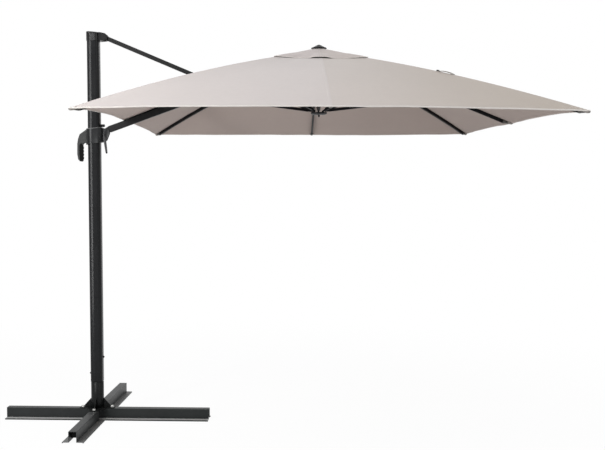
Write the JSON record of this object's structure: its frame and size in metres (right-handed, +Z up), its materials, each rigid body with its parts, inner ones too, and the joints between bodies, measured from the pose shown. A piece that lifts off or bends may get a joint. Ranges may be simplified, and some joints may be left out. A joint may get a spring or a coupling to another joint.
{
  "type": "cantilever parasol",
  "caption": "Side-arm garden parasol: a mast on a cross base, a sliding carriage with a grip, an arm and strut, and a folding ribbed rectangular canopy.",
  "frame": {"origin": "on the ground, on the mast's axis", "axes": "+X from the mast along the arm to the crown, +Z up, +Y away from the side that carries the lock lever"},
  "size_m": [3.6711, 3.5, 2.785],
  "materials": {
    "base_paint": "satin",
    "zinc": "satin",
    "tube_anthracite": "satin",
    "arm_anthracite": "satin",
    "shell_plastic": "satin",
    "black_plastic": "matte",
    "cast_grey": "satin",
    "lever_grey": "satin",
    "pin_steel": "satin",
    "rib_black": "satin",
    "canopy_taupe": "matte"
  },
  "bodies": {
    "base": {"base_beam_side": "base_paint", "base_beam_depth": "base_paint", "base_plate": "base_paint", "base_gussets": "base_paint", "base_post": "base_paint", "base_bolts": "zinc", "base_nuts": "zinc"},
    "mast": {"mast": "tube_anthracite", "mast_bushes": "black_plastic", "mast_lock_screws": "black_plastic", "mast_stop": "black_plastic", "mast_head": "shell_plastic", "mast_head_lid": "shell_plastic", "strut_head_pin": "pin_steel"},
    "strut": {"strut": "arm_anthracite"},
    "arm": {"arm": "arm_anthracite", "arm_root": "cast_grey", "arm_strut_bracket": "cast_grey", "arm_strut_pin": "pin_steel", "arm_end_fork": "cast_grey", "arm_end_pin": "pin_steel"},
    "carriage": {"carriage_front": "shell_plastic", "carriage_rear": "shell_plastic", "carriage_liner": "black_plastic", "carriage_screws": "pin_steel", "arm_root_pin": "pin_steel", "handle": "shell_plastic", "trigger_pin": "pin_steel"},
    "trigger": {"trigger": "black_plastic"},
    "lock_lever": {"lock_lever": "lever_grey", "lever_ball": "black_plastic"},
    "crown": {"crown_hub": "black_plastic", "crown_pins": "pin_steel", "crown_cap": "shell_plastic"},
    "runner": {"runner": "black_plastic", "runner_ball": "black_plastic"},
    "rib_arm_side": {"rib_arm_side": "rib_black", "canopy_arm_side": "canopy_taupe"},
    "stretcher_arm_side": {"stretcher_arm_side": "rib_black"},
    "rib_arm_near": {"rib_arm_near": "rib_black", "canopy_arm_near": "canopy_taupe"},
    "stretcher_arm_near": {"stretcher_arm_near": "rib_black"},
    "rib_near": {"rib_near": "rib_black", "canopy_near": "canopy_taupe"},
    "stretcher_near": {"stretcher_near": "rib_black"},
    "rib_outer_near": {"rib_outer_near": "rib_black", "canopy_outer_near": "canopy_taupe"},
    "stretcher_outer_near": {"stretcher_outer_near": "rib_black"},
    "rib_outer_side": {"rib_outer_side": "rib_black", "canopy_outer_side": "canopy_taupe"},
    "stretcher_outer_side": {"stretcher_outer_side": "rib_black"},
    "rib_outer_far": {"rib_outer_far": "rib_black", "canopy_outer_far": "canopy_taupe"},
    "stretcher_outer_far": {"stretcher_outer_far": "rib_black"},
    "rib_far": {"rib_far": "rib_black", "canopy_far": "canopy_taupe"},
    "stretcher_far": {"stretcher_far": "rib_black"},
    "rib_arm_far": {"rib_arm_far": "rib_black", "canopy_arm_far": "canopy_taupe"},
    "stretcher_arm_far": {"stretcher_arm_far": "rib_black"}
  },
  "joints": [
    {"name": "mast_turn", "type": "hinge", "parent": "base", "child": "mast", "pos_m": [0, 0, 0.3], "axis": [0, 0, 1], "continuous": true},
    {"name": "lift", "type": "hinge", "parent": "mast", "child": "strut", "pos_m": [0.079, 0, 2.7465], "axis": [0, 1, 0], "range_deg": [0, 52.24]},
    {"name": "arm_at_strut", "type": "hinge", "parent": "strut", "child": "arm", "pos_m": [0.86802, 0, 2.41551], "axis": [0, 1, 0], "range_deg": [-104.49, 0]},
    {"name": "carriage_at_arm", "type": "hinge", "parent": "arm", "child": "carriage", "pos_m": [0.079, 0, 2.08451], "axis": [0, 1, 0], "range_deg": [0, 52.25]},
    {"name": "crown_level", "type": "hinge", "parent": "arm", "child": "crown", "pos_m": [1.533, 0, 2.598], "axis": [0, 1, 0], "range_deg": [0, 52.25]},
    {"name": "trigger_squeeze", "type": "hinge", "parent": "carriage", "child": "trigger", "pos_m": [-0.092, 0, 1.988], "axis": [0, 1, 0], "range_deg": [0, 6], "stiffness_Nm_per_rad": 4, "springref_deg": -5.73},
    {"name": "lever_swing", "type": "hinge", "parent": "carriage", "child": "lock_lever", "pos_m": [0.073, -0.026, 2.052], "axis": [0, -1, 0], "range_deg": [0, 90]},
    {"name": "rib_fold_arm_side", "type": "hinge", "parent": "crown", "child": "rib_arm_side", "pos_m": [1.553, 0.028, 2.628], "axis": [0, -1, 0], "range_deg": [0, 66.82], "deforming": ["canopy_arm_side"]},
    {"name": "stretcher_fold_arm_side", "type": "hinge", "parent": "rib_arm_side", "child": "stretcher_arm_side", "pos_m": [0.75562, 0.028, 2.33275], "axis": [0, -1, 0], "range_deg": [-146.96, 0]},
    {"name": "rib_fold_arm_near", "type": "hinge", "parent": "crown", "child": "rib_arm_near", "pos_m": [1.57364, -0.04295, 2.628], "axis": [0.7809, -0.6247, 0], "range_deg": [0, 73.15], "deforming": ["canopy_arm_near"]},
    {"name": "stretcher_fold_arm_near", "type": "hinge", "parent": "rib_arm_near", "child": "stretcher_arm_near", "pos_m": [1.07122, -0.67098, 2.45054], "axis": [0.7809, -0.6247, 0], "range_deg": [-142.88, 0]},
    {"name": "rib_fold_near", "type": "hinge", "parent": "crown", "child": "rib_near", "pos_m": [1.608, -0.055, 2.628], "axis": [1, 0, 0], "range_deg": [0, 69.97], "deforming": ["canopy_near"]},
    {"name": "stretcher_fold_near", "type": "hinge", "parent": "rib_near", "child": "stretcher_near", "pos_m": [1.608, -0.85761, 2.38783], "axis": [1, 0, 0], "range_deg": [-144.74, 0]},
    {"name": "rib_fold_outer_near", "type": "hinge", "parent": "crown", "child": "rib_outer_near", "pos_m": [1.64236, -0.04295, 2.628], "axis": [0.7809, 0.6247, 0], "range_deg": [0, 72.93], "deforming": ["canopy_outer_near"]},
    {"name": "stretcher_fold_outer_near", "type": "hinge", "parent": "rib_outer_near", "child": "stretcher_outer_near", "pos_m": [2.14468, -0.67085, 2.44274], "axis": [0.7809, 0.6247, 0], "range_deg": [-143.45, 0]},
    {"name": "rib_fold_outer_side", "type": "hinge", "parent": "crown", "child": "rib_outer_side", "pos_m": [1.663, 0, 2.628], "axis": [0, 1, 0], "range_deg": [0, 66.02], "deforming": ["canopy_outer_side"]},
    {"name": "stretcher_fold_outer_side", "type": "hinge", "parent": "rib_outer_side", "child": "stretcher_outer_side", "pos_m": [2.45921, 0, 2.3207], "axis": [0, 1, 0], "range_deg": [-146.26, 0]},
    {"name": "rib_fold_outer_far", "type": "hinge", "parent": "crown", "child": "rib_outer_far", "pos_m": [1.64236, 0.04295, 2.628], "axis": [-0.7809, 0.6247, 0], "range_deg": [0, 73.45], "deforming": ["canopy_outer_far"]},
    {"name": "stretcher_fold_outer_far", "type": "hinge", "parent": "rib_outer_far", "child": "stretcher_outer_far", "pos_m": [2.14456, 0.6707, 2.4504], "axis": [-0.7809, 0.6247, 0], "range_deg": [-143.49, 0]},
    {"name": "runner_level", "type": "hinge", "parent": "stretcher_outer_far", "child": "runner", "pos_m": [1.63799, 0.03748, 2.226], "axis": [-0.7809, 0.6247, 0], "range_deg": [0, 70.05]},
    {"name": "rib_fold_far", "type": "hinge", "parent": "crown", "child": "rib_far", "pos_m": [1.608, 0.055, 2.628], "axis": [-1, 0, 0], "range_deg": [0, 69.66], "deforming": ["canopy_far"]},
    {"name": "stretcher_fold_far", "type": "hinge", "parent": "rib_far", "child": "stretcher_far", "pos_m": [1.608, 0.85739, 2.38319], "axis": [-1, 0, 0], "range_deg": [-144.73, 0]},
    {"name": "rib_fold_arm_far", "type": "hinge", "parent": "crown", "child": "rib_arm_far", "pos_m": [1.57364, 0.04295, 2.628], "axis": [-0.7809, -0.6247, 0], "range_deg": [0, 73.25], "deforming": ["canopy_arm_far"]},
    {"name": "stretcher_fold_arm_far", "type": "hinge", "parent": "rib_arm_far", "child": "stretcher_arm_far", "pos_m": [1.07124, 0.67095, 2.45199], "axis": [-0.7809, -0.6247, 0], "range_deg": [-142.89, 0]}
  ],
  "couplings": [
    {"joint": "arm_at_strut", "follows": "lift", "ratio": -2},
    {"joint": "carriage_at_arm", "follows": "lift", "ratio": 1},
    {"joint": "crown_level", "follows": "lift", "ratio": 1},
    {"joint": "rib_fold_arm_side", "follows": "lift", "ratio": 1.2789},
    {"joint": "stretcher_fold_arm_side", "follows": "lift", "ratio": -2.8128},
    {"joint": "rib_fold_arm_near", "follows": "lift", "ratio": 1.4001},
    {"joint": "stretcher_fold_arm_near", "follows": "lift", "ratio": -2.7348},
    {"joint": "rib_fold_near", "follows": "lift", "ratio": 1.3391},
    {"joint": "stretcher_fold_near", "follows": "lift", "ratio": -2.7704},
    {"joint": "rib_fold_outer_near", "follows": "lift", "ratio": 1.3958},
    {"joint": "stretcher_fold_outer_near", "follows": "lift", "ratio": -2.7457},
    {"joint": "rib_fold_outer_side", "follows": "lift", "ratio": 1.2636},
    {"joint": "stretcher_fold_outer_side", "follows": "lift", "ratio": -2.7994},
    {"joint": "rib_fold_outer_far", "follows": "lift", "ratio": 1.4058},
    {"joint": "stretcher_fold_outer_far", "follows": "lift", "ratio": -2.7465},
    {"joint": "runner_level", "follows": "lift", "ratio": 1.3407},
    {"joint": "rib_fold_far", "follows": "lift", "ratio": 1.3331},
    {"joint": "stretcher_fold_far", "follows": "lift", "ratio": -2.7702},
    {"joint": "rib_fold_arm_far", "follows": "lift", "ratio": 1.402},
    {"joint": "stretcher_fold_arm_far", "follows": "lift", "ratio": -2.735}
  ]
}
